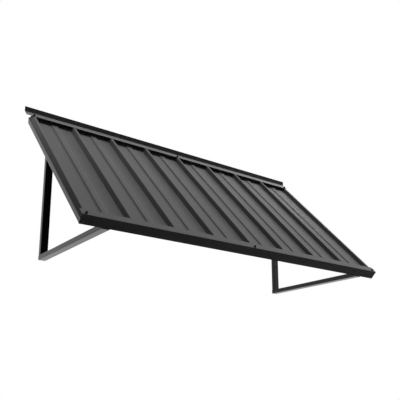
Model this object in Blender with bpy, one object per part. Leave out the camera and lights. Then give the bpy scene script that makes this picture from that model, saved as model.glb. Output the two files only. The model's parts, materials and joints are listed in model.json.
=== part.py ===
"""Fixed metal awning: two ribbed roof sheets on a welded tube frame with two wall brackets.

Metres, +Z up. X runs along the wall, +Y points to the wall, and Z is 0 under the bracket arms.
Slope places are given as (x, run, rise): run is measured down the roof from the fold of the wall
flashing, and rise is measured square to the roof from the tops of the ribs.
"""

import math

import bmesh
import bpy

# Roof slope and ribs
SLOPE = math.radians(46.0)
ROOF_RUN = 1.0544  # fold of the wall flashing to the face of the eave trim, down the slope
RIB_COUNT = 9
LAP_RIB = 4  # index of the rib where the two sheets lap
RIB_PITCH = 0.2286
RIB_HEIGHT = 0.019
RIB_TOP = 0.015
RIB_FLANK = 0.0100  # sideways run of a rib's slanted side
EDGE_MARGIN = 0.0045  # flat sheet outside the outer ribs
SHEET = 0.0008
FOLD_RADIUS = 0.0020
FOLD_STEPS = 3

# Low stiffening bead in the middle of each pan
BEAD_HEIGHT = 0.0045
BEAD_TOP = 0.029
BEAD_FLANK = 0.0070

# Folded trims
TRIM_SHEET = 0.0010
FLASHING_LAP = 0.0447
FLASHING_LEG = 0.0273
FLASHING_PAST_LEFT = 0.0440  # past the middle of the first rib
FLASHING_PAST_RIGHT = 0.0141  # past the middle of the last rib
EAVE_FLANGE = 0.0471
EAVE_DROP = 0.0464  # rib tops to the lower edge of the eave trim, square to the roof
EAVE_CLEARANCE = 0.003  # lower edge of the eave trim above the arms' underside

# Foam closures under the flashing
CLOSURE_DEPTH = 0.018
CLOSURE_SETBACK = 0.006  # behind the front edge of the flashing

# Rectangular tube of the frame and brackets
TUBE_WIDTH = 0.040
TUBE_DEPTH = 0.025
TUBE_WALL = 0.0020
TUBE_CORNER = 0.0030
TUBE_CORNER_STEPS = 3
BRACKET_INSET = 0.104  # roof edge to the outer face of a bracket

# Wall fixing holes in the posts
FIXING_HOLE = 0.010
FIXING_FIRST = 0.180
FIXING_PITCH = 0.180
FIXING_COUNT = 3

# Self-drilling screws and their sealing washers
SCREW_RIBS = (0, LAP_RIB, RIB_COUNT - 1)
SHANK = 0.0048
STITCH_LENGTH = 0.016
FRAME_SCREW_LENGTH = 0.032
SCREW_TIP = 0.004
HEAD_FLATS = 0.008
HEAD_HEIGHT = 0.0045
HEAD_CHAMFER = 0.0007
FLANGE_DIAMETER = 0.0105
FLANGE_HEIGHT = 0.0010
WASHER_DIAMETER = 0.0140
WASHER_HEIGHT = 0.0022
HOLE_CLEARANCE = 0.0004  # round a shank, on the radius
FLASHING_SCREW_EDGE = 0.009  # behind the front edge of the flashing
EAVE_SCREW_EDGE = 0.014  # behind the face of the eave trim
ROUND_SIDES = 24
HOLE_TURN = math.pi / ROUND_SIDES  # keeps a hole's corners off the middle line of its face

# Gaps
GAP = 0.0003  # between pieces that touch
WALL_GAP = 0.0015  # behind the tube frame
SHEET_WALL_GAP = 0.003  # behind the sheets' upper ends
SHEET_EAVE_GAP = 0.006  # between the sheets' lower ends and the eave trim
CUT_REACH = 0.005  # how far a cutter passes what it cuts

# Worked out from the sizes above
HALF_RIBS = RIB_PITCH * (RIB_COUNT - 1) / 2
RIB_FOOT = RIB_TOP / 2 + RIB_FLANK
HALF_ROOF = HALF_RIBS + RIB_FOOT + EDGE_MARGIN
TUBE_RISE = -(RIB_HEIGHT + SHEET + GAP)  # top of the frame
FRAME_UNDERSIDE = TUBE_RISE - TUBE_DEPTH
SHEET_START = (RIB_HEIGHT + SHEET) * math.tan(SLOPE) + SHEET_WALL_GAP / math.cos(SLOPE)
SHEET_END = ROOF_RUN - TRIM_SHEET - SHEET_EAVE_GAP
FRAME_START = -FRAME_UNDERSIDE * math.tan(SLOPE) + WALL_GAP / math.cos(SLOPE)
FRAME_END = ROOF_RUN - TRIM_SHEET - GAP
FOLD_HEIGHT = ROOF_RUN * math.sin(SLOPE) + EAVE_DROP * math.cos(SLOPE) + EAVE_CLEARANCE
FLASHING_SCREW_RUN = FLASHING_LAP - FLASHING_SCREW_EDGE
EAVE_SCREW_RUN = ROOF_RUN - EAVE_SCREW_EDGE
TRIM_TOP = GAP + TRIM_SHEET
WASHER_SEAT = TRIM_TOP + GAP
HEAD_SEAT = WASHER_SEAT + WASHER_HEIGHT + GAP
BRACKET_X = HALF_ROOF - BRACKET_INSET - TUBE_WIDTH / 2
ARM_FRONT = EAVE_DROP * math.sin(SLOPE) - (ROOF_RUN - TRIM_SHEET) * math.cos(SLOPE) + GAP

# The origin is the middle of the part's footprint
FLASHING_LEFT = -HALF_RIBS - FLASHING_PAST_LEFT
FLASHING_RIGHT = HALF_RIBS + FLASHING_PAST_RIGHT
CENTRE_X = (min(FLASHING_LEFT, -HALF_ROOF) + max(FLASHING_RIGHT, HALF_ROOF)) / 2
FOLD_CENTRE_REACH = (ROOF_RUN - FOLD_RADIUS) * math.cos(SLOPE) + (TRIM_TOP - FOLD_RADIUS) * math.sin(SLOPE)
CENTRE_Y = -(FOLD_CENTRE_REACH + FOLD_RADIUS) / 2


def clear_scene():
    """Removes every object that a new Blender file holds."""
    for item in list(bpy.data.objects):
        bpy.data.objects.remove(item, do_unlink=True)


def paint(name, colour, roughness, metallic=0.0):
    """Returns a Principled material."""
    material = bpy.data.materials.new(name)
    material.use_nodes = True
    shader = material.node_tree.nodes["Principled BSDF"]
    shader.inputs["Base Color"].default_value = (*colour, 1.0)
    shader.inputs["Roughness"].default_value = roughness
    shader.inputs["Metallic"].default_value = metallic
    material.diffuse_color = (*colour, 1.0)
    return material


def add_empty(name, location=(0.0, 0.0, 0.0), rotation=(0.0, 0.0, 0.0), parent=None):
    """Returns an empty that carries other objects."""
    empty = bpy.data.objects.new(name, None)
    empty.location = location
    empty.rotation_euler = rotation
    empty.parent = parent
    bpy.context.scene.collection.objects.link(empty)
    return empty


def add_object(name, shape, material, parent, location=(0.0, 0.0, 0.0), rotation=(0.0, 0.0, 0.0)):
    """Turns a bmesh into a named object with outward faces."""
    bmesh.ops.recalc_face_normals(shape, faces=shape.faces)
    mesh = bpy.data.meshes.new(name)
    shape.to_mesh(mesh)
    shape.free()
    mesh.shade_smooth()
    mesh.set_sharp_from_angle(angle=math.radians(35))
    item = bpy.data.objects.new(name, mesh)
    item.location = location
    item.rotation_euler = rotation
    item.parent = parent
    item.data.materials.append(material)
    bpy.context.scene.collection.objects.link(item)
    return item


def cut(item, name, shape, parent):
    """Cuts a closed shape out of an object."""
    bmesh.ops.recalc_face_normals(shape, faces=shape.faces)
    mesh = bpy.data.meshes.new(name)
    shape.to_mesh(mesh)
    shape.free()
    cutter = bpy.data.objects.new(name, mesh)
    cutter.parent = parent
    cutter.hide_render = True
    cutter.display_type = "WIRE"
    bpy.context.scene.collection.objects.link(cutter)
    boolean = item.modifiers.new(name, "BOOLEAN")
    boolean.operation = "DIFFERENCE"
    boolean.solver = "EXACT"
    boolean.object = cutter


def loft(shape, rings):
    """Skins a list of closed rings of equal size and closes both ends."""
    rows = [[shape.verts.new(point) for point in ring] for ring in rings]
    for row, following in zip(rows, rows[1:]):
        for i in range(len(row)):
            j = (i + 1) % len(row)
            shape.faces.new((row[i], row[j], following[j], following[i]))
    shape.faces.new(rows[0])
    shape.faces.new(rows[-1])


def circle(radius, height, centre=(0.0, 0.0), turn=0.0):
    """Returns the points of a level circle, turned by an angle."""
    angles = [turn + 2 * math.pi * i / ROUND_SIDES for i in range(ROUND_SIDES)]
    return [
        (centre[0] + radius * math.cos(a), centre[1] + radius * math.sin(a), height) for a in angles
    ]


def hexagon(flats, height, centre=(0.0, 0.0)):
    """Returns a level hexagon with as many points as a circle."""
    points = []
    for i in range(ROUND_SIDES):
        angle = 2 * math.pi * i / ROUND_SIDES
        from_flat = (angle + math.pi / 6) % (math.pi / 3) - math.pi / 6
        radius = flats / 2 / math.cos(from_flat)
        x = centre[0] + radius * math.cos(angle)
        y = centre[1] + radius * math.sin(angle)
        points.append((x, y, height))
    return points


def rounded(points, radius, steps):
    """Rounds the inner corners of an open outline of (x, z) points."""
    result = [points[0]]
    for before, corner, after in zip(points, points[1:], points[2:]):
        into = (before[0] - corner[0], before[1] - corner[1])
        out = (after[0] - corner[0], after[1] - corner[1])
        length_in, length_out = math.hypot(*into), math.hypot(*out)
        into = (into[0] / length_in, into[1] / length_in)
        out = (out[0] / length_out, out[1] / length_out)
        half = math.acos(max(-1.0, min(1.0, into[0] * out[0] + into[1] * out[1]))) / 2
        trim = min(radius / math.tan(half), 0.45 * length_in, 0.45 * length_out)
        arc_radius = trim * math.tan(half)
        middle = (into[0] + out[0], into[1] + out[1])
        scale = arc_radius / math.sin(half) / math.hypot(*middle)
        centre = (corner[0] + middle[0] * scale, corner[1] + middle[1] * scale)
        start = (corner[0] + into[0] * trim - centre[0], corner[1] + into[1] * trim - centre[1])
        sweep = math.pi - 2 * half
        turn = 1 if start[0] * out[1] - start[1] * out[0] > 0 else -1
        for k in range(steps + 1):
            angle = turn * sweep * k / steps
            x = start[0] * math.cos(angle) - start[1] * math.sin(angle)
            z = start[0] * math.sin(angle) + start[1] * math.cos(angle)
            result.append((centre[0] + x, centre[1] + z))
    result.append(points[-1])
    return result


def offset(points, distance):
    """Moves an open outline sideways; a positive distance lowers an outline that runs to +X."""
    moved = []
    for i, point in enumerate(points):
        before = points[max(i - 1, 0)]
        after = points[min(i + 1, len(points) - 1)]
        normals = []
        for a, b in ((before, point), (point, after)):
            length = math.hypot(b[0] - a[0], b[1] - a[1])
            if length > 0:
                normals.append(((b[1] - a[1]) / length, -(b[0] - a[0]) / length))
        x = sum(n[0] for n in normals)
        z = sum(n[1] for n in normals)
        size = math.hypot(x, z)
        spread = size / len(normals)
        moved.append((point[0] + x / size * distance / spread, point[1] + z / size * distance / spread))
    return moved


def rib_points(centre, inset=0.0):
    """Returns the four corners of a rib, made smaller all round by inset."""
    flank_length = math.hypot(RIB_FLANK, RIB_HEIGHT)
    # Setting both lines of a corner back by inset moves the corner sideways by this much
    shift = inset * (flank_length - RIB_FLANK) / RIB_HEIGHT
    half_top = RIB_TOP / 2 - shift
    half_foot = half_top + RIB_FLANK * (RIB_HEIGHT - inset) / RIB_HEIGHT
    return [
        (centre - half_foot, -RIB_HEIGHT),
        (centre - half_top, -inset),
        (centre + half_top, -inset),
        (centre + half_foot, -RIB_HEIGHT),
    ]


def bead_points(centre):
    """Returns the four corners of the low bead in a pan."""
    half_top = BEAD_TOP / 2
    half_foot = half_top + BEAD_FLANK
    top = BEAD_HEIGHT - RIB_HEIGHT
    return [
        (centre - half_foot, -RIB_HEIGHT),
        (centre - half_top, top),
        (centre + half_top, top),
        (centre + half_foot, -RIB_HEIGHT),
    ]


def rib_centre(index):
    """Returns the x of a rib."""
    return index * RIB_PITCH - HALF_RIBS


def pan_outline(index):
    """Returns the pan from one rib to the next, without either rib."""
    return bead_points((rib_centre(index) + rib_centre(index + 1)) / 2)


def left_sheet_outline():
    """Returns the upper side of the left sheet, whose last rib laps over the right sheet."""
    points = [(-HALF_ROOF, -RIB_HEIGHT)]
    for index in range(LAP_RIB + 1):
        points += rib_points(rib_centre(index))
        if index < LAP_RIB:
            points += pan_outline(index)
    top, foot = points[-2], points[-1]
    # The lapping flank stops just above the pan of the sheet below
    share = 1 - 2 * (SHEET + GAP) / RIB_HEIGHT
    points[-1] = (top[0] + (foot[0] - top[0]) * share, top[1] + (foot[1] - top[1]) * share)
    return points


def right_sheet_outline():
    """Returns the upper side of the right sheet, whose first rib nests under the left sheet."""
    points = []
    for index in range(LAP_RIB, RIB_COUNT):
        points += rib_points(rib_centre(index), SHEET + GAP if index == LAP_RIB else 0.0)
        if index < RIB_COUNT - 1:
            points += pan_outline(index)
    points.append((HALF_ROOF, -RIB_HEIGHT))
    return points


def extruded(outline, thickness, start, end):
    """Returns a folded sheet: an open (x, rise) outline with a thickness, run down the slope."""
    lower = offset(outline, thickness)
    section = outline + lower[::-1]
    shape = bmesh.new()
    loft(shape, [[(x, -run, z) for x, z in section] for run in (start, end)])
    return shape


def folded_strip(outline, thickness, left, right):
    """Returns a folded trim: an open (run, rise) outline with a thickness, run along the wall."""
    lower = offset(outline, thickness)
    section = outline + lower[::-1]
    shape = bmesh.new()
    loft(shape, [[(x, -run, z) for run, z in section] for x in (left, right)])
    return shape


def tube_section(width, depth):
    """Returns the outer and inner (x, z) outlines of a tube centred on x, with its foot at z 0."""
    outlines = []
    for inset, corner in ((0.0, TUBE_CORNER), (TUBE_WALL, TUBE_CORNER - TUBE_WALL)):
        half = width / 2 - inset - corner
        low, high = inset + corner, depth - inset - corner
        outline = []
        for x, z, first in ((half, high, 0.0), (-half, high, 90.0), (-half, low, 180.0), (half, low, 270.0)):
            for k in range(TUBE_CORNER_STEPS + 1):
                angle = math.radians(first + 90.0 * k / TUBE_CORNER_STEPS)
                outline.append((x + corner * math.cos(angle), z + corner * math.sin(angle)))
        outlines.append(outline)
    return outlines


def tube(width, depth, start, end):
    """Returns an open tube along Y. start and end are functions of z that give each cut's y."""
    outer, inner = tube_section(width, depth)
    shape = bmesh.new()
    rings = []
    for outline, cut_at in ((outer, start), (outer, end), (inner, end), (inner, start)):
        rings.append([shape.verts.new((x, cut_at(z), z)) for x, z in outline])
    for ring, following in zip(rings, rings[1:] + rings[:1]):
        for i in range(len(ring)):
            j = (i + 1) % len(ring)
            shape.faces.new((ring[i], ring[j], following[j], following[i]))
    return shape


def drill(centre, height, reach, radius):
    """Returns an upright cylinder that cuts a hole."""
    shape = bmesh.new()
    loft(shape, [circle(radius, z, centre, HOLE_TURN) for z in (height, height + reach)])
    return shape


def add_roof_sheets(roof, steel):
    """Adds the two ribbed sheets, with the screw holes in their ribs."""
    for name, outline, ribs in (
        ("roof_panel_left", left_sheet_outline(), SCREW_RIBS[:2]),
        ("roof_panel_right", right_sheet_outline(), SCREW_RIBS[1:]),
    ):
        folded = rounded(outline, FOLD_RADIUS, FOLD_STEPS)
        sheet = add_object(name, extruded(folded, SHEET, SHEET_START, SHEET_END), steel, roof)
        drill_ribs(sheet, ribs, (FLASHING_SCREW_RUN, EAVE_SCREW_RUN), roof)


def drill_ribs(item, ribs, runs, roof):
    """Drills the screw holes through whatever lies at the tops of the ribs."""
    reach = TRIM_TOP + 2 * SHEET + 2 * CUT_REACH
    low = -(2 * SHEET + CUT_REACH)
    for rib in ribs:
        for run in runs:
            name = f"{item.name}_hole_{rib + 1}_{round(run * 1000)}"
            shape = drill((rib_centre(rib), -run), low, reach, SHANK / 2 + HOLE_CLEARANCE)
            cut(item, name, shape, roof)


def add_trims(roof, steel):
    """Adds the wall flashing and the eave trim."""
    # Both outlines follow the outer side, and the thickness lies behind it. The flashing's
    # upright leg stands against the wall, so it leans in the roof's own axes.
    up = (-math.sin(SLOPE) * FLASHING_LEG, math.cos(SLOPE) * FLASHING_LEG)
    corner = ((TRIM_SHEET - TRIM_TOP * math.sin(SLOPE)) / math.cos(SLOPE), TRIM_TOP)
    outline = [(corner[0] + up[0], corner[1] + up[1]), corner, (FLASHING_LAP, TRIM_TOP)]
    folded = rounded(outline, FOLD_RADIUS, FOLD_STEPS)
    shape = folded_strip(folded, TRIM_SHEET, FLASHING_LEFT, FLASHING_RIGHT)
    flashing = add_object("wall_flashing", shape, steel, roof)
    drill_ribs(flashing, SCREW_RIBS, (FLASHING_SCREW_RUN,), roof)

    outline = [(ROOF_RUN - EAVE_FLANGE, TRIM_TOP), (ROOF_RUN, TRIM_TOP), (ROOF_RUN, -EAVE_DROP)]
    folded = rounded(outline, FOLD_RADIUS, FOLD_STEPS)
    shape = folded_strip(folded, TRIM_SHEET, -HALF_ROOF, HALF_ROOF)
    eave = add_object("eave_trim", shape, steel, roof)
    drill_ribs(eave, SCREW_RIBS, (EAVE_SCREW_RUN,), roof)


def add_closures(roof, foam):
    """Adds the foam blocks that fill the pans under the flashing, one in each bay."""
    front = FLASHING_LAP - CLOSURE_SETBACK
    for index in range(RIB_COUNT - 1):
        first, last = rib_points(rib_centre(index)), rib_points(rib_centre(index + 1))
        bed = [first[2], first[3], *pan_outline(index), last[0], last[1]]
        bed = offset(rounded(bed, FOLD_RADIUS, FOLD_STEPS), -GAP)
        bed[0] = (bed[0][0], 0.0)
        bed[-1] = (bed[-1][0], 0.0)
        shape = bmesh.new()
        rings = [[(x, -run, z) for x, z in bed] for run in (front - CLOSURE_DEPTH, front)]
        loft(shape, rings)
        add_object(f"closure_{index + 1}", shape, foam, roof)


def add_frame(roof, steel):
    """Adds the rectangular tube frame under the sheets."""
    rail_x = HALF_ROOF - TUBE_WIDTH / 2
    rise = FRAME_UNDERSIDE

    def wall_cut(z):
        """Cuts a tube's upper end upright, along the wall."""
        return (rise + z) * math.tan(SLOPE) - WALL_GAP / math.cos(SLOPE)

    def square_cut(run):
        """Cuts a tube square at a run down the slope."""
        return lambda z: -run

    for side, name in ((-1, "side_rail_left"), (1, "side_rail_right")):
        shape = tube(TUBE_WIDTH, TUBE_DEPTH, square_cut(FRAME_END), wall_cut)
        rail = add_object(name, shape, steel, roof, location=(side * rail_x, 0.0, rise))
        drill_rail(rail, SCREW_RIBS[0] if side < 0 else SCREW_RIBS[-1], roof)
    upper_edge = FRAME_START + TUBE_WIDTH + GAP
    lower_edge = FRAME_END - TUBE_WIDTH - GAP
    for side, name in ((-1, "rafter_left"), (1, "rafter_right")):
        shape = tube(TUBE_WIDTH, TUBE_DEPTH, square_cut(lower_edge), square_cut(upper_edge))
        add_object(name, shape, steel, roof, location=(side * BRACKET_X, 0.0, rise))
    half_length = HALF_ROOF - TUBE_WIDTH - GAP
    across = (0.0, 0.0, -math.pi / 2)
    for name, middle in (
        ("top_rail", FRAME_START + TUBE_WIDTH / 2),
        ("eave_rail", FRAME_END - TUBE_WIDTH / 2),
    ):
        shape = tube(TUBE_WIDTH, TUBE_DEPTH, lambda z: -half_length, lambda z: half_length)
        rail = add_object(name, shape, steel, roof, location=(0.0, -middle, rise), rotation=across)
        if name == "eave_rail":
            drill_rail(rail, SCREW_RIBS[1], roof)


def drill_rail(rail, rib, roof):
    """Drills the upper wall of a rail for the eave screw of one rib."""
    low = TUBE_RISE - TUBE_WALL - CUT_REACH
    reach = TUBE_WALL + 2 * CUT_REACH
    shape = drill((rib_centre(rib), -EAVE_SCREW_RUN), low, reach, SHANK / 2 + HOLE_CLEARANCE)
    cut(rail, f"{rail.name}_hole", shape, roof)


def add_brackets(body, steel):
    """Adds the upright posts and level arms of the two wall brackets."""

    def post_top(z):
        """Cuts a post along the underside of the frame; z is its depth from the wall."""
        rise = FRAME_UNDERSIDE - GAP
        return FOLD_HEIGHT - z * math.tan(SLOPE) + rise / math.cos(SLOPE)

    def arm_front(z):
        """Cuts an arm along the underside of the frame."""
        rise = FRAME_UNDERSIDE - GAP
        return (z - FOLD_HEIGHT - rise / math.cos(SLOPE)) / math.tan(SLOPE)

    for side, label in ((-1, "left"), (1, "right")):
        x = side * BRACKET_X
        shape = tube(TUBE_WIDTH, TUBE_DEPTH, lambda z: TUBE_DEPTH + GAP, post_top)
        post = add_object(f"post_{label}", shape, steel, body, location=(x, 0.0, 0.0),
                          rotation=(math.pi / 2, 0.0, 0.0))
        for k in range(FIXING_COUNT):
            height = FIXING_FIRST + k * FIXING_PITCH
            shape = bmesh.new()
            ring = circle(FIXING_HOLE / 2, 0.0, (x, height), HOLE_TURN)
            loft(shape, [[(px, y, pz) for px, pz, _ in ring] for y in (-TUBE_DEPTH - CUT_REACH, CUT_REACH)])
            cut(post, f"post_{label}_hole_{k + 1}", shape, body)
        shape = tube(TUBE_WIDTH, TUBE_DEPTH, arm_front, lambda z: 0.0)
        arm = add_object(f"arm_{label}", shape, steel, body, location=(x, 0.0, 0.0))
        half = TUBE_WIDTH / 2 + CUT_REACH
        front = ARM_FRONT - 2 * TUBE_WIDTH
        shape = bmesh.new()
        loft(shape, [
            [(x - half, y, z) for y, z in ((front, -CUT_REACH), (ARM_FRONT, -CUT_REACH),
                                           (ARM_FRONT, TUBE_DEPTH), (front, TUBE_DEPTH))],
            [(x + half, y, z) for y, z in ((front, -CUT_REACH), (ARM_FRONT, -CUT_REACH),
                                           (ARM_FRONT, TUBE_DEPTH), (front, TUBE_DEPTH))],
        ])
        cut(arm, f"arm_{label}_trim", shape, body)


def screw(centre, length):
    """Returns a hexagon-headed screw that points down."""
    head = HEAD_SEAT + FLANGE_HEIGHT
    top = head + HEAD_HEIGHT
    tip = HEAD_SEAT - length
    shape = bmesh.new()
    loft(shape, [
        hexagon(HEAD_FLATS - 2 * HEAD_CHAMFER, top, centre),
        hexagon(HEAD_FLATS, top - HEAD_CHAMFER, centre),
        hexagon(HEAD_FLATS, head, centre),
        circle(FLANGE_DIAMETER / 2, head, centre),
        circle(FLANGE_DIAMETER / 2, HEAD_SEAT, centre),
        circle(SHANK / 2, HEAD_SEAT, centre),
        circle(SHANK / 2, tip + SCREW_TIP, centre),
        circle(SHANK / 10, tip, centre),
    ])
    return shape


def washer(centre):
    """Returns a sealing washer."""
    bore = SHANK / 2 + HOLE_CLEARANCE
    top = WASHER_SEAT + WASHER_HEIGHT
    shape = bmesh.new()
    rings = []
    for radius, height in (
        (WASHER_DIAMETER / 2, WASHER_SEAT),
        (FLANGE_DIAMETER / 2, top),
        (bore, top),
        (bore, WASHER_SEAT),
    ):
        rings.append([shape.verts.new(point) for point in circle(radius, height, centre)])
    for ring, following in zip(rings, rings[1:] + rings[:1]):
        for i in range(len(ring)):
            j = (i + 1) % len(ring)
            shape.faces.new((ring[i], ring[j], following[j], following[i]))
    return shape


def add_fasteners(roof, dark_steel, rubber):
    """Adds the screws along both trims and their washers."""
    for label, run, length in (
        ("flashing", FLASHING_SCREW_RUN, STITCH_LENGTH),
        ("eave", EAVE_SCREW_RUN, FRAME_SCREW_LENGTH),
    ):
        for number, rib in enumerate(SCREW_RIBS, start=1):
            centre = (rib_centre(rib), -run)
            add_object(f"{label}_screw_{number}", screw(centre, length), dark_steel, roof)
            add_object(f"{label}_washer_{number}", washer(centre), rubber, roof)


def main():
    """Builds the awning."""
    clear_scene()
    body = add_empty("awning", location=(-CENTRE_X, -CENTRE_Y, 0.0))
    roof = add_empty("roof_plane", location=(0.0, 0.0, FOLD_HEIGHT), rotation=(SLOPE, 0.0, 0.0), parent=body)
    sheet_steel = paint("charcoal_coated_sheet", (0.110, 0.110, 0.112), 0.50)
    trim_steel = paint("charcoal_coated_trim", (0.170, 0.170, 0.172), 0.50)
    tube_steel = paint("black_powder_coated_tube", (0.004, 0.004, 0.004), 0.20)
    foam = paint("black_closure_foam", (0.003, 0.003, 0.003), 0.95)
    dark_steel = paint("black_screw", (0.004, 0.004, 0.004), 0.32)
    rubber = paint("black_sealing_rubber", (0.004, 0.004, 0.004), 0.75)
    add_roof_sheets(roof, sheet_steel)
    add_trims(roof, trim_steel)
    add_closures(roof, foam)
    add_frame(roof, tube_steel)
    add_brackets(body, tube_steel)
    add_fasteners(roof, dark_steel, rubber)
    bpy.context.view_layer.update()


main()
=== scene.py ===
"""Looks of the fixed metal awning: ribbed roof sheets, fasteners, weld seams, finishes and studio."""

import json
import logging
import math
from dataclasses import dataclass, field
from enum import Enum
from typing import Any, Dict, List, Sequence, Tuple

import bmesh
import bpy
from mathutils import Euler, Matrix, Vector


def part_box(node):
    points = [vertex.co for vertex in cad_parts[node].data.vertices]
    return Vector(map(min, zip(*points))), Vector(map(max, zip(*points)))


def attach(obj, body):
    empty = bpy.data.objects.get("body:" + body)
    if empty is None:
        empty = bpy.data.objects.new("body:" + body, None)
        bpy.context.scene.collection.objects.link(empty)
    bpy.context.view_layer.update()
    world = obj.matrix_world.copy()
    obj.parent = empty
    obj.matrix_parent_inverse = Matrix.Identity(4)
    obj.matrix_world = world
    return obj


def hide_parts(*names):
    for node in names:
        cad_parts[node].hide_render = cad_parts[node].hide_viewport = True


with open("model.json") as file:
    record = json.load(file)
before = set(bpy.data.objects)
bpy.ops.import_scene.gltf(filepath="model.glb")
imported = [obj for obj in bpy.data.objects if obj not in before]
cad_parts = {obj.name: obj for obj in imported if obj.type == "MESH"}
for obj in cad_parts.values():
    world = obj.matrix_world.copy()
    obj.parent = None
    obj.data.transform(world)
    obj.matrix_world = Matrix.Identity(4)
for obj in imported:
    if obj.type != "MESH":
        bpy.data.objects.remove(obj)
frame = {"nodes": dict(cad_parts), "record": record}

LOG = logging.getLogger("awning")
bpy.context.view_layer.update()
BODY = "root"
SHARP_ANGLE = math.radians(35)
# Nearly all values of a noise texture lie between these
NOISE_SPREAD = (0.3, 0.7)

Point = Tuple[float, float, float]


class Slot(Enum):
    """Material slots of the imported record."""

    ROOF_SHEET = "roof_sheet"
    TRIM = "trim"
    TUBE = "tube"
    FOAM = "closure_foam"
    SCREW = "screw"
    RUBBER = "sealing_rubber"


class Side(Enum):
    """The two sides of the awning, with the sign of their x."""

    LEFT = -1
    RIGHT = 1


def linear_from_hex(colour: str) -> Tuple[float, float, float, float]:
    """Turns an sRGB hex colour into linear values.

    Args:
        colour: Six hex digits, with or without a leading hash sign.

    Returns:
        Linear red, green and blue, and an alpha of 1.
    """
    digits = colour.lstrip("#")
    channels = []
    for start in (0, 2, 4):
        value = int(digits[start:start + 2], 16) / 255
        channels.append(value / 12.92 if value <= 0.04045 else ((value + 0.055) / 1.055) ** 2.4)
    return (*channels, 1.0)


def scaled(colour: Sequence[float], factor: float) -> Tuple[float, float, float, float]:
    """Makes a linear colour darker or lighter.

    Args:
        colour: Linear red, green, blue and alpha.
        factor: What red, green and blue are multiplied by.

    Returns:
        The new colour, with an alpha of 1.
    """
    return (*(channel * factor for channel in colour[:3]), 1.0)


def add_node(tree: bpy.types.NodeTree, kind: str, inputs: Dict[Any, Any] | None = None,
             **settings: Any) -> bpy.types.Node:
    """Adds a node with its settings and links.

    Args:
        tree: The tree that gets the node.
        kind: The node's type name.
        inputs: Input name or index to a value, or to the socket that feeds it.
        settings: The node's own properties.

    Returns:
        The new node.
    """
    node = tree.nodes.new(kind)
    for name, value in settings.items():
        setattr(node, name, value)
    for key, value in (inputs or {}).items():
        socket = node.inputs[key]
        if isinstance(value, bpy.types.NodeSocket):
            tree.links.new(value, socket)
        else:
            socket.default_value = value
    return node


@dataclass(frozen=True)
class RoofPlace:
    """Where the sloping roof lies: places on it are (x, run, rise), from the fold of the flashing.

    Run is measured down the slope and rise square to it, from the tops of the ribs.
    """

    slope: float = math.radians(46.0)
    fold_height: float = 0.79371
    middle_x: float = 0.0110
    wall_y: float = 0.36628

    def origin(self) -> Point:
        """Returns the world place of (0, 0, 0)."""
        return (self.middle_x, self.wall_y, self.fold_height)

    def to_world(self, x: float, run: float, rise: float) -> Point:
        """Turns a place on the roof into world coordinates.

        Args:
            x: Along the wall, from the middle of the roof.
            run: Down the slope from the fold.
            rise: Square to the roof from the tops of the ribs.

        Returns:
            The world place in metres.
        """
        y = self.wall_y - run * math.cos(self.slope) - rise * math.sin(self.slope)
        z = self.fold_height - run * math.sin(self.slope) + rise * math.cos(self.slope)
        return (x + self.middle_x, y, z)


ROOF = RoofPlace()


def new_object(name: str, mesh: bpy.types.Mesh) -> bpy.types.Object:
    """Links a new object at the origin.

    Args:
        name: The piece's name.
        mesh: The piece's mesh, in world coordinates.

    Returns:
        The new object.
    """
    item = bpy.data.objects.new(name, mesh)
    bpy.context.scene.collection.objects.link(item)
    return item


def new_piece(name: str, shape: bmesh.types.BMesh, material: bpy.types.Material) -> bpy.types.Object:
    """Turns a bmesh into an object with outward faces.

    Args:
        name: The piece's name.
        shape: The closed shape, which is freed.
        material: The piece's finish.

    Returns:
        The new object.
    """
    bmesh.ops.recalc_face_normals(shape, faces=shape.faces)
    mesh = bpy.data.meshes.new(name)
    shape.to_mesh(mesh)
    shape.free()
    mesh.materials.append(material)
    mesh.shade_smooth()
    mesh.set_sharp_from_angle(angle=SHARP_ANGLE)
    return new_object(name, mesh)


def declare(piece: bpy.types.Object, slot: Slot, nodes: Sequence[str] = ()) -> None:
    """Hangs a finished piece on the awning's body.

    Args:
        piece: The finished piece.
        slot: The record's slot for its finish; not used.
        nodes: CAD nodes that it stands for.
    """
    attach(piece, BODY)
    if nodes:
        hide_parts(*nodes)
    LOG.info("%s: %d faces, stands for %d nodes", piece.name, len(piece.data.polygons), len(nodes))


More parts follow.
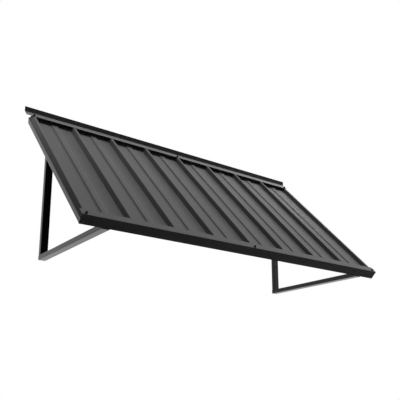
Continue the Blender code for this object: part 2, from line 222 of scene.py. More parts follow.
@dataclass
class NodeTree:
    """A Geometry Nodes tree with named inputs, whose result becomes a plain mesh."""

    name: str
    sizes: Dict[str, Tuple[str, Any]]
    tree: bpy.types.NodeTree = field(init=False)
    start: bpy.types.Node = field(init=False)

    def __post_init__(self) -> None:
        """Makes the tree and its inputs."""
        self.tree = bpy.data.node_groups.new(self.name, "GeometryNodeTree")
        face = self.tree.interface
        face.new_socket("Geometry", in_out="INPUT", socket_type="NodeSocketGeometry")
        for name, (kind, _) in self.sizes.items():
            face.new_socket(name, in_out="INPUT", socket_type=f"NodeSocket{kind}")
        face.new_socket("Geometry", in_out="OUTPUT", socket_type="NodeSocketGeometry")
        self.start = self.tree.nodes.new("NodeGroupInput")

    def value(self, name: str) -> bpy.types.NodeSocket:
        """Returns the socket that gives a named input."""
        return self.start.outputs[name]

    def add(self, kind: str, inputs: Dict[Any, Any] | None = None, **settings: Any) -> bpy.types.Node:
        """Adds a node to the tree; the arguments are those of add_node."""
        return add_node(self.tree, kind, inputs, **settings)

    def math(self, operation: str, *terms: Any) -> bpy.types.NodeSocket:
        """Adds a Math node.

        Args:
            operation: The node's operation.
            terms: Its inputs, as numbers or sockets.

        Returns:
            The socket with the result.
        """
        return self.add("ShaderNodeMath", dict(enumerate(terms)), operation=operation).outputs[0]

    def choose(self, index: bpy.types.NodeSocket, values: Sequence[Any]) -> bpy.types.NodeSocket:
        """Adds an Index Switch.

        Args:
            index: The socket that picks a value.
            values: The numbers or sockets to pick from.

        Returns:
            The socket with the picked value.
        """
        switch = self.tree.nodes.new("GeometryNodeIndexSwitch")
        switch.data_type = "FLOAT"
        while len(switch.index_switch_items) < len(values):
            switch.index_switch_items.new()
        self.tree.links.new(index, switch.inputs[0])
        for socket, value in zip(list(switch.inputs)[1:], values):
            if isinstance(value, bpy.types.NodeSocket):
                self.tree.links.new(value, socket)
            else:
                socket.default_value = value
        return switch.outputs[0]

    def either(self, test: bpy.types.NodeSocket, when_true: Any, when_false: Any) -> bpy.types.NodeSocket:
        """Adds a Switch between two numbers.

        Args:
            test: The socket that decides.
            when_true: The value where it holds.
            when_false: The value elsewhere.

        Returns:
            The socket with the result.
        """
        node = self.add("GeometryNodeSwitch", {"Switch": test, "False": when_false, "True": when_true},
                        input_type="FLOAT")
        return node.outputs[0]

    def finish(self, shape: bpy.types.NodeSocket, material: bpy.types.Material) -> None:
        """Realizes the result, gives it its material and closes the tree.

        Args:
            shape: The socket with the geometry.
            material: The finish.
        """
        realized = self.add("GeometryNodeRealizeInstances", {"Geometry": shape})
        painted = self.add("GeometryNodeSetMaterial", {
            "Geometry": realized.outputs[0], "Material": material,
        })
        self.add("NodeGroupOutput", {"Geometry": painted.outputs[0]})

    def run(self, name: str, source: bpy.types.Mesh | None = None) -> bpy.types.Object:
        """Runs the tree and keeps its result as a plain mesh.

        Args:
            name: The piece's name.
            source: The mesh that the tree starts from, or None for an empty one.

        Returns:
            The new object, at the origin.
        """
        carrier = new_object(f"{name}_source", source or bpy.data.meshes.new(f"{name}_source"))
        modifier = carrier.modifiers.new(self.name, "NODES")
        modifier.node_group = self.tree
        for item in self.tree.interface.items_tree:
            if item.in_out == "INPUT" and item.name in self.sizes:
                modifier[item.identifier] = self.sizes[item.name][1]
        bpy.context.view_layer.update()
        evaluated = carrier.evaluated_get(bpy.context.evaluated_depsgraph_get())
        mesh = bpy.data.meshes.new_from_object(evaluated)
        mesh.name = name
        carrier.modifiers.clear()
        bpy.data.objects.remove(carrier, do_unlink=True)
        shape = bmesh.new()
        shape.from_mesh(mesh)
        bmesh.ops.recalc_face_normals(shape, faces=shape.faces)
        shape.to_mesh(mesh)
        shape.free()
        mesh.shade_smooth()
        mesh.set_sharp_from_angle(angle=SHARP_ANGLE)
        return new_object(name, mesh)


@dataclass(frozen=True)
class CoatedSteel:
    """Steel under paint: coil-coated sheet or powder-coated tube.

    Both are a pigmented film over metal, so they shade as a dielectric. Both have an orange peel, and
    coil-coated sheet also has the long faint waves of rolled metal.
    """

    name: str
    colour: str
    roughness: float
    ior: float = 1.5
    specular: float = 0.5
    peel_mm: float = 1.6
    peel_depth_mm: float = 0.02
    wave_mm: float = 0.0
    wave_depth_mm: float = 0.0
    patch_mm: float = 140
    tone_spread: float = 0.07
    gloss_spread: float = 0.04
    dust: float = 0.0
    dust_colour: str = "#6b6a66"
    streak_width_mm: float = 12
    streak_length_mm: float = 300
    streak_noise: Tuple[float, float] = (0.45, 0.8)

    def build(self) -> bpy.types.Material:
        """Returns the material."""
        material = bpy.data.materials.new(self.name)
        material.use_nodes = True
        tree = material.node_tree
        shader = tree.nodes["Principled BSDF"]
        shader.inputs["IOR"].default_value = self.ior
        shader.inputs["Specular IOR Level"].default_value = self.specular
        place = add_node(tree, "ShaderNodeTexCoord").outputs["Object"]
        base = linear_from_hex(self.colour)
        # Pigment and handling make patches a hand wide, a few percent lighter and darker
        patches = add_node(tree, "ShaderNodeTexNoise", {
            "Vector": place, "Scale": 1000 / self.patch_mm, "Detail": 3.0,
        })
        tone = add_node(tree, "ShaderNodeMix", {
            "Factor": patches.outputs["Fac"],
            "A": scaled(base, 1 - self.tone_spread), "B": scaled(base, 1 + self.tone_spread),
        }, data_type="RGBA")
        colour = tone.outputs["Result"]
        if self.dust:
            colour = self.dusted(tree, place, colour)
        tree.links.new(colour, shader.inputs["Base Color"])
        gloss = add_node(tree, "ShaderNodeMapRange", {
            "Value": patches.outputs["Fac"], "From Min": NOISE_SPREAD[0], "From Max": NOISE_SPREAD[1],
            "To Min": self.roughness - self.gloss_spread, "To Max": self.roughness + self.gloss_spread,
        })
        tree.links.new(gloss.outputs["Result"], shader.inputs["Roughness"])
        peel = add_node(tree, "ShaderNodeTexNoise", {
            "Vector": place, "Scale": 1000 / self.peel_mm, "Detail": 1.0,
        })
        bump = add_node(tree, "ShaderNodeBump", {
            "Height": peel.outputs["Fac"], "Distance": self.peel_depth_mm / 1000, "Strength": 1.0,
        })
        if self.wave_depth_mm:
            wave = add_node(tree, "ShaderNodeTexNoise", {
                "Vector": place, "Scale": 1000 / self.wave_mm, "Detail": 1.0,
            })
            bump = add_node(tree, "ShaderNodeBump", {
                "Height": wave.outputs["Fac"], "Distance": self.wave_depth_mm / 1000, "Strength": 1.0,
                "Normal": bump.outputs["Normal"],
            })
        tree.links.new(bump.outputs["Normal"], shader.inputs["Normal"])
        return material

    def dusted(self, tree: bpy.types.NodeTree, place: bpy.types.NodeSocket,
               colour: bpy.types.NodeSocket) -> bpy.types.NodeSocket:
        """Adds the faint streaks that rain and dust leave down the slope.

        Args:
            tree: The material's tree.
            place: The coordinates.
            colour: The clean colour.

        Returns:
            The socket with the dusted colour.
        """
        # Turned so that local y runs down the slope
        along = 1000 / self.streak_length_mm
        turned = add_node(tree, "ShaderNodeMapping", {
            "Vector": place, "Rotation": (-ROOF.slope, 0.0, 0.0),
            "Scale": (1000 / self.streak_width_mm, along, along),
        }, vector_type="POINT")
        streaks = add_node(tree, "ShaderNodeTexNoise", {
            "Vector": turned.outputs["Vector"], "Scale": 1.0, "Detail": 2.0,
        })
        amount = add_node(tree, "ShaderNodeMapRange", {
            "Value": streaks.outputs["Fac"], "To Min": 0.0, "To Max": self.dust,
            "From Min": self.streak_noise[0], "From Max": self.streak_noise[1],
        })
        mixed = add_node(tree, "ShaderNodeMix", {
            "Factor": amount.outputs["Result"], "A": colour, "B": linear_from_hex(self.dust_colour),
        }, data_type="RGBA")
        return mixed.outputs["Result"]


@dataclass(frozen=True)
class CellRubber:
    """Black rubber: closed-cell foam, cut to shape, or solid sealing rubber, moulded."""

    name: str
    colour: str
    roughness: float
    cell_mm: float
    cell_depth_mm: float
    ior: float = 1.52
    specular: float = 0.25
    cell_shade: float = 0.7

    def build(self) -> bpy.types.Material:
        """Returns the material, dull, with cut cells or a fine moulded grain."""
        material = bpy.data.materials.new(self.name)
        material.use_nodes = True
        tree = material.node_tree
        shader = tree.nodes["Principled BSDF"]
        shader.inputs["IOR"].default_value = self.ior
        shader.inputs["Specular IOR Level"].default_value = self.specular
        shader.inputs["Roughness"].default_value = self.roughness
        place = add_node(tree, "ShaderNodeTexCoord").outputs["Object"]
        cells = add_node(tree, "ShaderNodeTexVoronoi", {"Vector": place, "Scale": 1000 / self.cell_mm})
        base = linear_from_hex(self.colour)
        tone = add_node(tree, "ShaderNodeMix", {
            "Factor": cells.outputs["Distance"], "A": scaled(base, self.cell_shade), "B": base,
        }, data_type="RGBA")
        tree.links.new(tone.outputs["Result"], shader.inputs["Base Color"])
        bump = add_node(tree, "ShaderNodeBump", {
            "Height": cells.outputs["Distance"], "Distance": self.cell_depth_mm / 1000, "Strength": 1.0,
        })
        tree.links.new(bump.outputs["Normal"], shader.inputs["Normal"])
        return material


# Roof sheets and the eave trim are charcoal coil coating, low gloss, with a trace of dust. The real
# orange peel is about 1 mm wide, too fine to show in the render, so it is drawn 5 mm wide
SHEET_FINISH = CoatedSteel("charcoal_coil_coated_steel", "#5e5e5f", 0.50, specular=0.06, peel_mm=5.0,
                           peel_depth_mm=0.006, wave_mm=170, wave_depth_mm=0.3, dust=0.06)
# The wall flashing has the same coating as the sheets, painted a paler tone as painted light for the
# brighter light its flange catches, with its peel drawn as coarse
TRIM_FINISH = CoatedSteel("charcoal_coil_coated_trim", "#757576", 0.50, specular=0.02, peel_mm=5.0,
                          peel_depth_mm=0.004, wave_mm=220, wave_depth_mm=0.2)
# Tubes are black polyester powder coat, glossy, with a 4 mm orange peel
TUBE_FINISH = CoatedSteel("black_powder_coated_tube", "#0c0c0d", 0.14, specular=0.29, peel_mm=4.0,
                          peel_depth_mm=0.012)
# Screw heads are black paint, satin, nearly black from every side
SCREW_FINISH = CoatedSteel("black_painted_screw_steel", "#0d0d0d", 0.40, specular=0.05, peel_mm=0.5,
                           peel_depth_mm=0.006)
FOAM_FINISH = CellRubber("black_closed_cell_foam", "#0a0a0a", 0.95, cell_mm=1.4, cell_depth_mm=0.35)
RUBBER_FINISH = CellRubber("black_sealing_rubber", "#0c0c0c", 0.75, cell_mm=0.5, cell_depth_mm=0.02)


@dataclass
class RibbedSheets:
    """The two roll-formed roof sheets, which lap at the middle rib."""

    finish: bpy.types.Material
    ribs: int = 5
    half_ribs: float = 0.9144
    pitch: float = 0.2286
    rib_height: float = 0.019
    rib_top: float = 0.015
    rib_flank: float = 0.0100
    edge_margin: float = 0.0045
    bead_height: float = 0.0045
    bead_top: float = 0.029
    bead_flank: float = 0.0070
    thickness: float = 0.0008
    gap: float = 0.0003
    fold_radius: float = 0.0026
    fold_steps: int = 6
    first_run: float = 0.02482
    last_run: float = 1.0474
    bay_corners: int = 8
    merge_distance: float = 0.00002

    def outline(self, nodes: NodeTree) -> bpy.types.NodeSocket:
        """Adds the nodes that place the corners of the sheet's outline, from the outer edge inwards.

        Args:
            nodes: The sheet's tree.

        Returns:
            The socket with the outline as a chain of edges, in (x, 0, rise).
        """
        value, sums = nodes.value, nodes.math
        half_top, flank, height = value("Half Top"), value("Flank"), value("Rib Height")
        half_bead, bead_flank = value("Half Bead"), value("Bead Flank")
        half_pitch = sums("MULTIPLY", value("Pitch"), 0.5)
        foot = sums("ADD", half_top, flank)
        floor = sums("MULTIPLY", height, -1.0)
        bead_rise = sums("ADD", floor, value("Bead Height"))
        bead_start = sums("SUBTRACT", half_pitch, half_bead)
        bead_end = sums("ADD", half_pitch, half_bead)
        minus_foot, minus_top = sums("MULTIPLY", foot, -1.0), sums("MULTIPLY", half_top, -1.0)
        # Corner -1 is the sheet's edge. A bay runs from one rib's foot to the next, with eight corners
        corner = sums("SUBTRACT", nodes.add("GeometryNodeInputIndex").outputs[0], 1.0)
        bay = sums("FLOOR", sums("DIVIDE", corner, self.bay_corners))
        step = sums("SUBTRACT", corner, sums("MULTIPLY", bay, self.bay_corners))
        x = nodes.choose(step, [
            minus_foot, minus_top, half_top, foot, sums("SUBTRACT", bead_start, bead_flank),
            bead_start, bead_end, sums("ADD", bead_end, bead_flank),
        ])
        rise = nodes.choose(step, [floor, 0.0, 0.0, floor, floor, bead_rise, bead_rise, floor])
        lap_x = nodes.choose(step, [
            sums("MULTIPLY", value("Lap Foot"), -1.0), sums("MULTIPLY", value("Lap Half Top"), -1.0),
            value("Lap Half Top"), value("Lap End"), 0.0, 0.0, 0.0, 0.0,
        ])
        lap_rise = nodes.choose(step, [
            floor, value("Lap Rise"), value("Lap Rise"), value("Lap End Rise"), 0.0, 0.0, 0.0, 0.0,
        ])
        last_bay = sums("SUBTRACT", value("Ribs"), 1.0)
        is_lap = nodes.add("FunctionNodeCompare", {"A": bay, "B": sums("SUBTRACT", last_bay, 0.5)},
                           operation="GREATER_THAN").outputs[0]
        is_edge = nodes.add("FunctionNodeCompare", {"A": corner, "B": 0.0},
                            operation="LESS_THAN").outputs[0]
        x = sums("ADD", nodes.either(is_lap, lap_x, x), sums("MULTIPLY", bay, value("Pitch")))
        rise = nodes.either(is_lap, lap_rise, rise)
        edge_x = sums("SUBTRACT", minus_foot, value("Margin"))
        x = nodes.either(is_edge, edge_x, x)
        rise = nodes.either(is_edge, floor, rise)
        # The last bay is the lap: it has only the rib's four corners, and the edge makes five
        corners = sums("ADD", sums("MULTIPLY", last_bay, self.bay_corners), 5.0)
        chain = nodes.add("GeometryNodeMeshLine", {"Count": corners})
        from_middle = sums("ADD", sums("MULTIPLY", value("Half Ribs"), -1.0), x)
        place = nodes.add("ShaderNodeCombineXYZ", {
            "X": sums("MULTIPLY", from_middle, value("Direction")), "Z": rise,
        })
        return nodes.add("GeometryNodeSetPosition", {
            "Geometry": chain.outputs[0], "Position": place.outputs[0],
        }).outputs[0]

    def sheet(self, side: Side) -> bpy.types.Object:
        """Builds one sheet with a Geometry Nodes tree.

        Args:
            side: Which sheet; the left one laps over the right one.

        Returns:
            The sheet as a plain mesh.
        """
        inset = self.thickness + self.gap if side is Side.RIGHT else 0.0
        # Setting both lines of a fold back by the inset moves the fold sideways by this much
        shift = inset * (math.hypot(self.rib_flank, self.rib_height) - self.rib_flank) / self.rib_height
        lap_half_top = self.rib_top / 2 - shift
        lap_foot = lap_half_top + self.rib_flank * (self.rib_height - inset) / self.rib_height
        share = 1.0 if side is Side.RIGHT else 1 - 2 * (self.thickness + self.gap) / self.rib_height
        nodes = NodeTree("ribbed_sheet", {
            "Ribs": ("Int", self.ribs), "Half Ribs": ("Float", self.half_ribs),
            "Pitch": ("Float", self.pitch),
            "Rib Height": ("Float", self.rib_height), "Half Top": ("Float", self.rib_top / 2),
            "Flank": ("Float", self.rib_flank), "Margin": ("Float", self.edge_margin),
            "Bead Height": ("Float", self.bead_height), "Half Bead": ("Float", self.bead_top / 2),
            "Bead Flank": ("Float", self.bead_flank), "Lap Half Top": ("Float", lap_half_top),
            "Lap Foot": ("Float", lap_foot), "Lap Rise": ("Float", -inset),
            "Lap End": ("Float", lap_half_top + (lap_foot - lap_half_top) * share),
            "Lap End Rise": ("Float", -inset - (self.rib_height - inset) * share),
            "Direction": ("Float", float(-side.value)), "Fold Radius": ("Float", self.fold_radius),
            "Fold Steps": ("Int", self.fold_steps), "Thickness": ("Float", self.thickness),
            "Length": ("Vector", (0.0, self.first_run - self.last_run, 0.0)),
            "Start": ("Vector", (0.0, -self.first_run, 0.0)),
            "Slope": ("Vector", (ROOF.slope, 0.0, 0.0)), "Place": ("Vector", ROOF.origin()),
        })
        value = nodes.value
        curve = nodes.add("GeometryNodeMeshToCurve", {"Mesh": self.outline(nodes)})
        folded = nodes.add("GeometryNodeFilletCurve", {
            "Curve": curve.outputs[0], "Radius": value("Fold Radius"), "Count": value("Fold Steps"),
            "Limit Radius": True,
        }, mode="POLY")
        edge = nodes.add("GeometryNodeCurveToMesh", {"Curve": folded.outputs[0]})
        skin = nodes.add("GeometryNodeExtrudeMesh", {
            "Mesh": edge.outputs[0], "Offset": value("Length"), "Offset Scale": 1.0,
        }, mode="EDGES").outputs[0]
        # The outline is the sheet's upper side, so the wall is added below it
        normal = nodes.add("GeometryNodeInputNormal").outputs[0]
        up = nodes.add("ShaderNodeSeparateXYZ", {"Vector": normal}).outputs["Z"]
        inwards = nodes.math("MULTIPLY", value("Thickness"), -1.0)
        depth = nodes.math("MULTIPLY", nodes.math("SIGN", up), inwards)
        under = nodes.add("GeometryNodeExtrudeMesh", {
            "Mesh": skin, "Offset Scale": depth, "Individual": False,
        }, mode="FACES").outputs[0]
        back = nodes.add("GeometryNodeFlipFaces", {"Mesh": skin}).outputs[0]
        both = nodes.add("GeometryNodeJoinGeometry")
        nodes.tree.links.new(under, both.inputs[0])
        nodes.tree.links.new(back, both.inputs[0])
        closed = nodes.add("GeometryNodeMergeByDistance", {
            "Geometry": both.outputs[0], "Distance": self.merge_distance,
        })
        run = nodes.add("GeometryNodeTransform", {
            "Geometry": closed.outputs[0], "Translation": value("Start"),
        })
        placed = nodes.add("GeometryNodeTransform", {
            "Geometry": run.outputs[0], "Translation": value("Place"), "Rotation": value("Slope"),
        })
        nodes.finish(placed.outputs[0], self.finish)
        return nodes.run(f"ribbed_sheet_{side.name.lower()}")

    def build(self) -> None:
        """Builds both sheets in place of the plain ones."""
        for side in Side:
            declare(self.sheet(side), Slot.ROOF_SHEET, [f"roof_panel_{side.name.lower()}"])


@dataclass
class Fasteners:
    """Hexagon-headed self-drilling screws with bonded sealing washers, along both trims."""

    steel: bpy.types.Material
    rubber: bpy.types.Material
    count: int = 3
    spacing: float = 0.9144
    first_x: float = -0.9144
    shank: float = 0.0048
    thread_depth: float = 0.0005
    thread_pitch: float = 0.0018
    head_flats: float = 0.008
    head_height: float = 0.0045
    chamfer: float = 0.0007
    flange: float = 0.0105
    flange_height: float = 0.0010
    washer_wide: float = 0.0140
    washer_height: float = 0.0022
    washer_seat: float = 0.0016
    gap: float = 0.0003
    shank_room: float = 0.0004
    dish_depth: float = 0.0004
    head_fillet: float = 0.0002
    flange_edge: Tuple[float, float] = (0.0002, 0.0003)
    point_length: float = 0.005
    # The drill point: each ring's share of the core's radius, and its height over the tip
    point_rings: Tuple[Tuple[float, float], ...] = ((1.0, 0.0042), (0.8, 0.0016), (0.12, 0.0))
    rings_per_turn: int = 6
    sides: int = 24
    turn_spread: float = math.radians(40)
    turn_seed: int = 7
    # Each row's name, its place down the slope and the length of its screws
    rows: Tuple[Tuple[str, float, float], ...] = (
        ("flashing", 0.0357, 0.016), ("eave", 1.0404, 0.032),
    )

    def ring(self, radius: float, height: float, hexagonal: bool = False) -> List[Point]:
        """Returns one level ring of a screw.

        Args:
            radius: The ring's radius, or half its width across flats.
            height: Its height over the head's seat.
            hexagonal: Whether the ring is a hexagon.

        Returns:
            The ring's points.
        """
        points = []
        for i in range(self.sides):
            angle = 2 * math.pi * i / self.sides
            from_flat = (angle + math.pi / 6) % (math.pi / 3) - math.pi / 6
            reach = radius / math.cos(from_flat) if hexagonal else radius
            points.append((reach * math.cos(angle), reach * math.sin(angle), height))
        return points

    def screw(self, length: float) -> bpy.types.Object:
        """Builds one screw that points down, with its head's seat at the origin.

        Args:
            length: From the seat to the tip.

        Returns:
            The screw.
        """
        half = self.head_flats / 2
        top = self.flange_height + self.head_height
        edge_in, edge_down = self.flange_edge
        # The dish in the head's top, its chamfer, the six flats, the flange and its seat
        rings = [
            self.ring(half - 2.6 * self.chamfer, top - self.dish_depth),
            self.ring(half - 1.9 * self.chamfer, top),
            self.ring(half - 0.2 * self.chamfer, top),
            self.ring(half, top - self.chamfer, hexagonal=True),
            self.ring(half, self.flange_height + self.head_fillet, hexagonal=True),
            self.ring(self.flange / 2 - edge_in, self.flange_height),
            self.ring(self.flange / 2, self.flange_height - edge_down),
            self.ring(self.flange / 2, 0.0),
            self.ring(self.shank / 2 - self.thread_depth, 0.0),
        ]
        turns_end = length - self.point_length
        steps = int(turns_end / self.thread_pitch * self.rings_per_turn)
        for step in range(1, steps):
            depth = turns_end * step / steps
            points = []
            for i in range(self.sides):
                # A ridge half a pitch wide, which climbs one pitch each turn
                phase = (depth / self.thread_pitch + i / self.sides) % 1.0
                ridge = max(0.0, 1 - abs(phase - 0.5) * 4)
                radius = self.shank / 2 - self.thread_depth * (1 - ridge)
                angle = 2 * math.pi * i / self.sides
                points.append((radius * math.cos(angle), radius * math.sin(angle), -depth))
            rings.append(points)
        core = self.shank / 2 - self.thread_depth
        for share, height in self.point_rings:
            rings.append(self.ring(core * share, height - length))
        shape = bmesh.new()
        rows = [[shape.verts.new(point) for point in ring] for ring in rings]
        for row, following in zip(rows, rows[1:]):
            for i in range(self.sides):
                j = (i + 1) % self.sides
                shape.faces.new((row[i], row[j], following[j], following[i]))
        shape.faces.new(rows[0])
        shape.faces.new(rows[-1])
        return new_piece("screw_pattern", shape, self.steel)

    def washer(self) -> bpy.types.Object:
        """Builds one sealing washer, with its seat at the origin and a bulged outer edge."""
        bore = self.shank / 2 + self.shank_room
        wide, top = self.washer_wide / 2, self.washer_height
        # Radius and height of each corner, once round the section
        profile = [
            (bore, 0.0), (wide - 0.0006, 0.0), (wide - 0.0001, 0.0004), (wide, 0.0009),
            (wide - 0.0004, 0.0014), (wide - 0.0012, top - 0.0002), (wide - 0.0019, top), (bore, top),
        ]
        shape = bmesh.new()
        rows = [[shape.verts.new(point) for point in self.ring(r, z)] for r, z in profile]
        for row, following in zip(rows, rows[1:] + rows[:1]):
            for i in range(self.sides):
                j = (i + 1) % self.sides
                shape.faces.new((row[i], row[j], following[j], following[i]))
        return new_piece("washer_pattern", shape, self.rubber)

    def row(self, name: str, pattern: bpy.types.Object, run: float, rise: float,
            material: bpy.types.Material) -> bpy.types.Object:
        """Sets copies of a pattern along a row of screws.

        Args:
            name: The piece's name.
            pattern: The screw or washer to copy, which is removed.
            run: The row's place down the slope.
            rise: The height of the pattern's seat over the rib tops.
            material: The finish.

        Returns:
            The whole row as one mesh.
        """
        nodes = NodeTree(name, {
            "Pattern": ("Object", pattern), "Count": ("Int", self.count),
            "Spacing": ("Vector", (self.spacing, 0.0, 0.0)),
            "First": ("Vector", (self.first_x, -run, rise)),
            "Turn": ("Float", self.turn_spread), "Slope": ("Vector", (ROOF.slope, 0.0, 0.0)),
            "Place": ("Vector", ROOF.origin()),
        })
        value = nodes.value
        line = nodes.add("GeometryNodeMeshLine", {
            "Count": value("Count"), "Start Location": value("First"), "Offset": value("Spacing"),
        })
        source = nodes.add("GeometryNodeObjectInfo", {"Object": value("Pattern"), "As Instance": True})
        # Each head stops at its own angle
        turn = nodes.add("FunctionNodeRandomValue", {
            "Min": 0.0, "Max": value("Turn"), "Seed": self.turn_seed,
        }, data_type="FLOAT")
        random = next(s for s in turn.outputs if s.enabled)
        rotation = nodes.add("ShaderNodeCombineXYZ", {"Z": random})
        copies = nodes.add("GeometryNodeInstanceOnPoints", {
            "Points": line.outputs[0], "Instance": source.outputs["Geometry"],
            "Rotation": rotation.outputs[0],
        })
        placed = nodes.add("GeometryNodeTransform", {
            "Geometry": copies.outputs[0], "Translation": value("Place"), "Rotation": value("Slope"),
        })
        nodes.finish(placed.outputs[0], material)
        piece = nodes.run(name)
        bpy.data.objects.remove(pattern, do_unlink=True)
        return piece

    def build(self) -> None:
        """Builds both rows in place of the plain screws and washers."""
        head_seat = self.washer_seat + self.washer_height + self.gap
        for label, run, length in self.rows:
            numbers = range(1, self.count + 1)
            screws = self.row(f"{label}_screws", self.screw(length), run, head_seat, self.steel)
            declare(screws, Slot.SCREW, [f"{label}_screw_{n}" for n in numbers])
            washers = self.row(f"{label}_washers", self.washer(), run, self.washer_seat, self.rubber)
            declare(washers, Slot.RUBBER, [f"{label}_washer_{n}" for n in numbers])


@dataclass
class WeldSeams:
    """The rippled weld seams in the inner corners of the tube frame, under the powder coat."""

    finish: bpy.types.Material
    ripple_pitch: float = 0.0022
    ripple_half: Point = (0.0021, 0.0026, 0.0016)
    frame_top: float = -0.0201
    tube_width: float = 0.040
    tube_depth: float = 0.025
    tube_corner: float = 0.003
    half_roof: float = 0.9364
    bracket_x: float = 0.8124
    upper_run: float = 0.0895
    lower_run: float = 1.0128

    def seams(self) -> List[Tuple[Point, Point]]:
        """Returns the world ends of each straight seam."""
        under = self.frame_top - self.tube_depth
        inner = self.half_roof - self.tube_width
        half = self.tube_width / 2 - self.tube_corner
        low, high = under + self.tube_corner, self.frame_top - self.tube_corner
        seams = []
        for side in Side:
            sign = side.value
            for run in (self.upper_run, self.lower_run):
                # Each rail's inner corner, and both sides of each rafter
                for x in (sign * inner, sign * (self.bracket_x - self.tube_width / 2),
                          sign * (self.bracket_x + self.tube_width / 2)):
                    seams.append((ROOF.to_world(x, run, high), ROOF.to_world(x, run, low)))
                seams.append((
                    ROOF.to_world(sign * self.bracket_x - half, run, under),
                    ROOF.to_world(sign * self.bracket_x + half, run, under),
                ))
            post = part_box(f"post_{side.name.lower()}")
            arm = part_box(f"arm_{side.name.lower()}")
            x = sign * self.bracket_x + ROOF.middle_x
            front, arm_top = post[0].y, arm[1].z
            slope = math.tan(ROOF.slope)
            # The frame's underside is a plane through this height above the wall
            at_wall = ROOF.fold_height + under / math.cos(ROOF.slope)
            heights = [
                (front, arm_top), (front, at_wall - (ROOF.wall_y - front) * slope),
                (ROOF.wall_y - (at_wall - arm_top) / slope, arm_top),
            ]
            for y, z in heights:
                seams.append(((x - half, y, z), (x + half, y, z)))
        return seams

    def build(self) -> None:
        """Builds every seam with one Geometry Nodes tree that sets ripples along its paths."""
        paths = bpy.data.meshes.new("seam_paths")
        ends = [point for seam in self.seams() for point in seam]
        paths.from_pydata(ends, [(i, i + 1) for i in range(0, len(ends), 2)], [])
        nodes = NodeTree("weld_seams", {
            "Ripple Pitch": ("Float", self.ripple_pitch), "Ripple Size": ("Vector", self.ripple_half),
        })
        curve = nodes.add("GeometryNodeMeshToCurve", {"Mesh": nodes.value("Geometry")})
        points = nodes.add("GeometryNodeCurveToPoints", {
            "Curve": curve.outputs[0], "Length": nodes.value("Ripple Pitch"),
        }, mode="LENGTH")
        ripple = nodes.add("GeometryNodeMeshUVSphere", {"Segments": 10, "Rings": 6, "Radius": 1.0})
        copies = nodes.add("GeometryNodeInstanceOnPoints", {
            "Points": points.outputs["Points"], "Instance": ripple.outputs[0],
            "Rotation": points.outputs["Rotation"], "Scale": nodes.value("Ripple Size"),
        })
        nodes.finish(copies.outputs[0], self.finish)
        declare(nodes.run("weld_seams", paths), Slot.TUBE)


@dataclass
class CarriedParts:
    """CAD nodes whose shape stays, with their detailed finishes."""

    sheet: bpy.types.Material
    trim: bpy.types.Material
    tube: bpy.types.Material
    foam: bpy.types.Material

    def build(self) -> None:
        """Gives every node that nothing stands for its finish."""
        finishes = {
            Slot.ROOF_SHEET.value: self.sheet, Slot.TRIM.value: self.trim,
            Slot.TUBE.value: self.tube, Slot.FOAM.value: self.foam,
        }
        slots = {part["node"]: part["material_slot"] for part in frame["record"]["subparts"]}
        for name, item in frame["nodes"].items():
            if item.hide_render:
                continue
            finish = finishes[slots[name]]
            item.data.materials.clear()
            item.data.materials.append(finish)
            LOG.info("%s keeps its shape and gets %s", name, finish.name)


@dataclass(frozen=True)
class Lamp:
    """A square lamp that points at the middle of the awning."""

    name: str
    place: Point
    size: float
    power: float


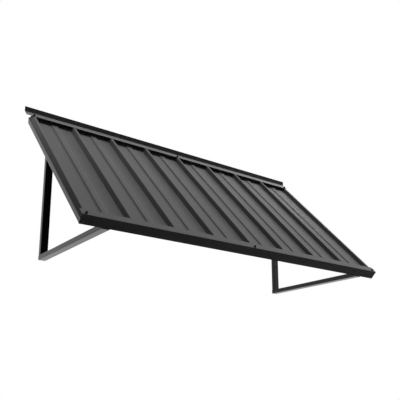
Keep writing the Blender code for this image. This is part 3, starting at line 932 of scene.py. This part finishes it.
@dataclass
class Studio:
    """The plain white surroundings, the soft lamps and the camera."""

    floor_z: float = -1.6
    floor_radius: float = 14.0
    fade_start: float = 1.1
    fade_end: float = 3.0
    floor_seen: float = 0.93
    floor_soft: float = 0.12
    soft_light: float = 0.035
    aim: Point = (0.0, 0.0, 0.4)
    lamp_set: Tuple[Lamp, ...] = (
        Lamp("key_lamp", (4.9, 1.3, 13.2), 1.4, 1660.0),
        Lamp("right_lamp", (2.3, 0.5, 2.1), 0.8, 108.0),
        Lamp("left_lamp", (-1.5, 0.42, 1.15), 0.4, 3.6),
        Lamp("back_lamp", (0.2, 3.0, -0.5), 1.8, 44.0),
    )
    camera_place: Point = (-1.89005, -2.4813, -0.7012)
    camera_yaw: float = math.radians(36.333)
    camera_pitch: float = math.radians(13.471)
    camera_lens: float = 53.081
    camera_shift: float = 0.15

    def seen(self, tree: bpy.types.NodeTree) -> bpy.types.NodeSocket:
        """Adds the test for rays that show the surroundings: camera, mirror and glass rays.

        Args:
            tree: The tree of the world or the floor.

        Returns:
            The socket that is 1 for these rays and 0 for rays that carry soft light.
        """
        path = add_node(tree, "ShaderNodeLightPath").outputs
        seen = add_node(tree, "ShaderNodeMath", {0: path["Is Camera Ray"], 1: path["Is Glossy Ray"]},
                        operation="MAXIMUM")
        seen = add_node(tree, "ShaderNodeMath", {0: seen.outputs[0], 1: path["Is Transmission Ray"]},
                        operation="MAXIMUM")
        return seen.outputs[0]

    def world(self) -> None:
        """Makes the surroundings white to the camera and in reflections, and a soft light otherwise."""
        world = bpy.data.worlds.new("studio")
        bpy.context.scene.world = world
        world.use_nodes = True
        tree = world.node_tree
        tree.nodes.clear()
        strength = add_node(tree, "ShaderNodeMapRange", {
            "Value": self.seen(tree), "To Min": self.soft_light, "To Max": 1.0,
        })
        light = add_node(tree, "ShaderNodeBackground", {
            "Color": (1.0, 1.0, 1.0, 1.0), "Strength": strength.outputs["Result"],
        })
        add_node(tree, "ShaderNodeOutputWorld", {"Surface": light.outputs[0]})

    def floor(self) -> None:
        """Lays the pale floor, which fades into the white surroundings further out."""
        shape = bmesh.new()
        bmesh.ops.create_circle(shape, cap_ends=True, segments=64, radius=self.floor_radius)
        bmesh.ops.translate(shape, verts=shape.verts, vec=(0.0, 0.0, self.floor_z))
        material = bpy.data.materials.new("pale_studio_floor")
        material.use_nodes = True
        tree = material.node_tree
        tree.nodes.clear()
        place = add_node(tree, "ShaderNodeTexCoord").outputs["Object"]
        flat = add_node(tree, "ShaderNodeVectorMath", {0: place, 1: (1.0, 1.0, 0.0)},
                        operation="MULTIPLY")
        distance = add_node(tree, "ShaderNodeVectorMath", {0: flat.outputs[0]}, operation="LENGTH")
        fade = add_node(tree, "ShaderNodeMapRange", {
            "Value": distance.outputs["Value"], "From Min": self.fade_start, "From Max": self.fade_end,
        }, interpolation_type="SMOOTHSTEP")
        seen = self.seen(tree)
        # Pale to the eye, but darker to the light that it throws back, as open ground would be
        pale = add_node(tree, "ShaderNodeMix", {
            "Factor": seen, "A": (*[self.floor_soft] * 3, 1.0), "B": (*[self.floor_seen] * 3, 1.0),
        }, data_type="RGBA")
        paint = add_node(tree, "ShaderNodeBsdfDiffuse", {"Color": pale.outputs["Result"]})
        strength = add_node(tree, "ShaderNodeMapRange", {
            "Value": seen, "To Min": self.soft_light, "To Max": 1.0,
        })
        glow = add_node(tree, "ShaderNodeEmission", {
            "Color": (1.0, 1.0, 1.0, 1.0), "Strength": strength.outputs["Result"],
        })
        mixed = add_node(tree, "ShaderNodeMixShader", {
            0: fade.outputs["Result"], 1: paint.outputs[0], 2: glow.outputs[0],
        })
        add_node(tree, "ShaderNodeOutputMaterial", {"Surface": mixed.outputs[0]})
        new_piece("studio_floor", shape, material)

    def lamps(self) -> None:
        """Hangs a high lamp, two small weak ones beyond the awning's ends, and a soft one behind it."""
        for lamp in self.lamp_set:
            light = bpy.data.lights.new(lamp.name, "AREA")
            light.size = lamp.size
            light.energy = lamp.power
            item = bpy.data.objects.new(lamp.name, light)
            item.location = lamp.place
            item.visible_camera = item.visible_glossy = False
            towards = Vector(self.aim) - Vector(lamp.place)
            item.rotation_euler = towards.to_track_quat("-Z", "Y").to_euler()
            bpy.context.scene.collection.objects.link(item)

    def camera(self) -> None:
        """Sets the camera at the photograph's place, low in front of the left end."""
        camera = bpy.data.cameras.new("camera")
        camera.sensor_width = 36.0
        camera.lens = self.camera_lens
        camera.shift_y = self.camera_shift
        item = bpy.data.objects.new("camera", camera)
        item.location = self.camera_place
        item.rotation_euler = Euler((math.pi / 2 + self.camera_pitch, 0.0, -self.camera_yaw), "XYZ")
        bpy.context.scene.collection.objects.link(item)
        bpy.context.scene.camera = item

    def build(self) -> None:
        """Builds the surroundings."""
        self.world()
        self.floor()
        self.lamps()
        self.camera()
        bpy.context.scene.view_settings.view_transform = "Standard"


def main() -> None:
    """Builds the dressed awning and its studio."""
    logging.basicConfig(level=logging.INFO, format="%(name)s: %(message)s")
    sheet, trim, tube = SHEET_FINISH.build(), TRIM_FINISH.build(), TUBE_FINISH.build()
    Studio().build()
    RibbedSheets(sheet).build()
    Fasteners(SCREW_FINISH.build(), RUBBER_FINISH.build()).build()
    CarriedParts(sheet, trim, tube, FOAM_FINISH.build()).build()
    WeldSeams(tube).build()


if __name__ == "__main__":
    main()
